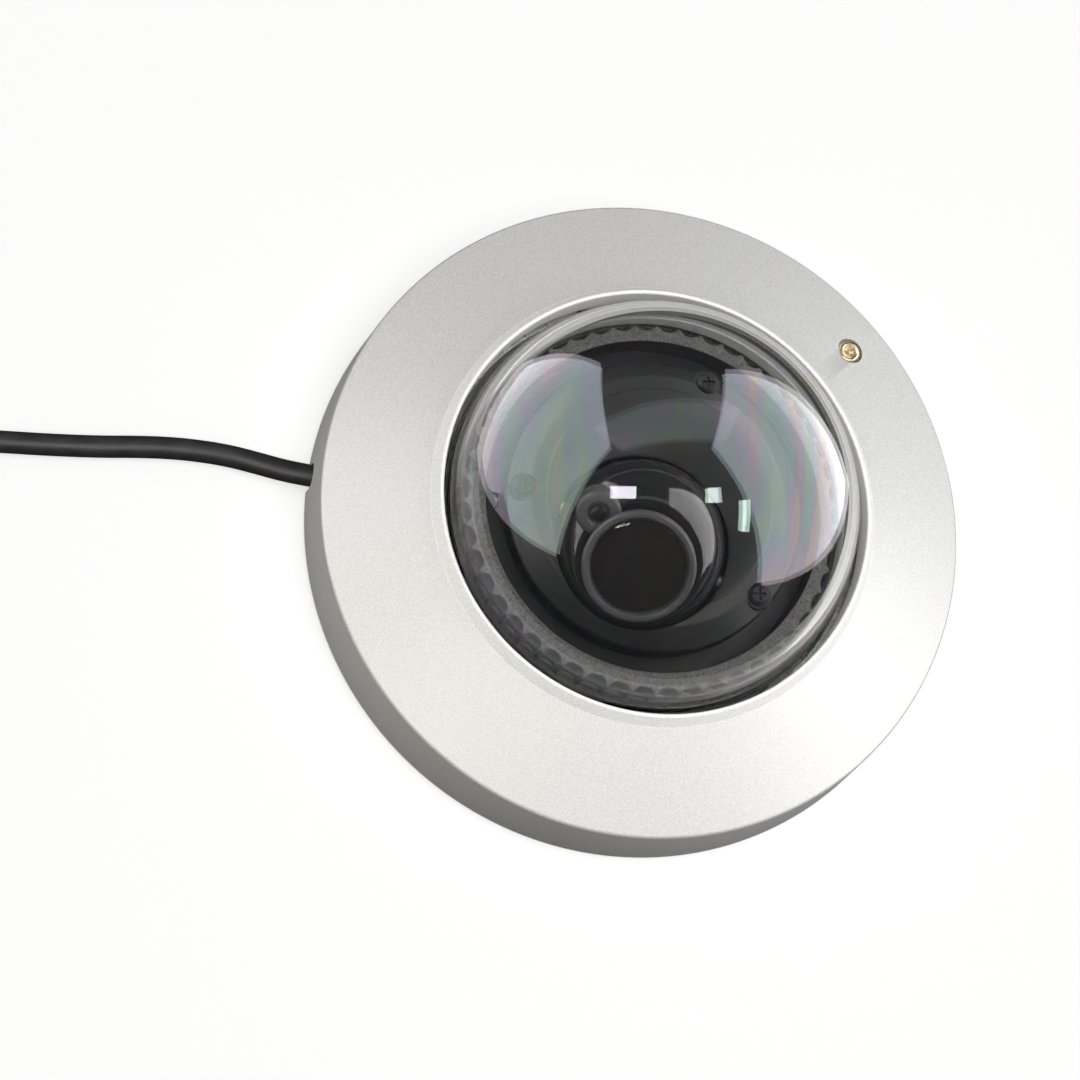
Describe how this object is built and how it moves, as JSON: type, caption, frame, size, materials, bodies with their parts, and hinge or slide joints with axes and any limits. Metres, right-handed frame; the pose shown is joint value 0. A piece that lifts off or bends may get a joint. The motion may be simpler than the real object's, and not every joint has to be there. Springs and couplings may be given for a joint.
{
  "type": "dome cctv camera",
  "caption": "Low flared dome security camera: silver cover, clear bubble, panning liner with an eyeball lens turret, side lead with a modular plug.",
  "frame": {"origin": "centre of the flat back face that goes against the ceiling or wall", "axes": "+Z out along the dome axis, away from the mounting surface; the lead leaves towards -X"},
  "size_m": [0.2845, 0.1681, 0.067],
  "materials": {
    "silver_paint": "satin metallic paint with a fine grain",
    "clear_dome": "clear polished polycarbonate",
    "cast_metal": "as cast",
    "rubber": "matte",
    "steel": "bright zinc",
    "gold_zinc": "yellow zinc plated",
    "grip_grey": "grained",
    "black_plastic": "satin moulded",
    "gloss_black": "gloss moulded",
    "lens_glass": "coated optical glass",
    "board_green": "solder mask",
    "chip_black": "moulded epoxy",
    "cable_jacket": "satin PVC",
    "plug_clear": "clear polycarbonate"
  },
  "bodies": {
    "base": {"base_housing": "cast_metal", "cover_seal": "rubber", "screw_insert": "gold_zinc", "cable_gland": "rubber", "main_board": "board_green", "board_standoff_1": "gold_zinc", "board_standoff_2": "gold_zinc", "board_standoff_3": "gold_zinc", "processor": "chip_black", "memory_chip": "chip_black", "service_board": "board_green", "service_standoff_1": "gold_zinc", "service_standoff_2": "gold_zinc", "lead_connector": "chip_black", "card_slot": "steel", "reset_switch": "chip_black", "pan_bearing": "cast_metal", "bearing_post_1": "steel", "bearing_post_2": "steel", "bearing_post_3": "steel", "cable": "cable_jacket", "cable_coil": "cable_jacket", "cable_tail": "cable_jacket", "coil_tie": "rubber", "plug_boot": "rubber", "plug_body": "plug_clear", "plug_latch": "plug_clear"},
    "pan": {"pan_ring": "grip_grey", "liner": "black_plastic", "liner_screw_1": "steel", "liner_screw_2": "steel", "liner_screw_3": "steel", "liner_post": "black_plastic", "trunnion_left": "cast_metal", "trunnion_right": "cast_metal"},
    "turret": {"turret_front": "gloss_black", "turret_rear": "black_plastic", "tilt_pin_left": "steel", "tilt_pin_right": "steel", "light_sensor_pod": "black_plastic", "light_sensor_lens": "lens_glass"},
    "lens_carriage": {"lens_carriage": "black_plastic", "image_board": "board_green", "image_sensor": "chip_black", "lens_barrel": "black_plastic"},
    "focus_ring": {"focus_ring": "grip_grey", "front_lens": "lens_glass"},
    "cover": {"cover": "silver_paint", "dome_bubble": "clear_dome", "dome_gasket": "rubber", "dome_retainer": "steel", "retainer_screw_1": "steel", "retainer_screw_2": "steel", "retainer_screw_3": "steel", "screw_keeper": "steel"},
    "cover_screw": {"cover_screw": "gold_zinc"},
    "reset_button": {"reset_button": "black_plastic"}
  },
  "joints": [
    {"name": "pan", "type": "hinge", "parent": "base", "child": "pan", "pos_m": [0, 0, 0.0245], "axis": [0, 0, 1], "range_deg": [-175, 175]},
    {"name": "tilt", "type": "hinge", "parent": "pan", "child": "turret", "pos_m": [-0.00419, -0.00941, 0.028], "axis": [0.9135, -0.4067, 0], "range_deg": [-33, 13]},
    {"name": "roll", "type": "hinge", "parent": "turret", "child": "lens_carriage", "pos_m": [-0.00419, -0.00941, 0.028], "axis": [-0.2215, -0.4976, 0.8387], "range_deg": [-170, 170]},
    {"name": "focus", "type": "hinge", "parent": "lens_carriage", "child": "focus_ring", "pos_m": [-0.00419, -0.00941, 0.028], "axis": [-0.2215, -0.4976, 0.8387], "range_deg": [-120, 120]},
    {"name": "cover_lift", "type": "slide", "parent": "base", "child": "cover", "axis": [0, 0, 1], "range_m": [0, 0.07]},
    {"name": "cover_screw_turn", "type": "hinge", "parent": "cover", "child": "cover_screw", "pos_m": [0.04663, 0.03776, 0.02], "axis": [0, 0, 1], "continuous": true},
    {"name": "reset_press", "type": "slide", "parent": "base", "child": "reset_button", "axis": [0, 0, -1], "range_m": [0, 0.0005], "stiffness_N_per_m": 300, "springref_m": -0.0005}
  ]
}
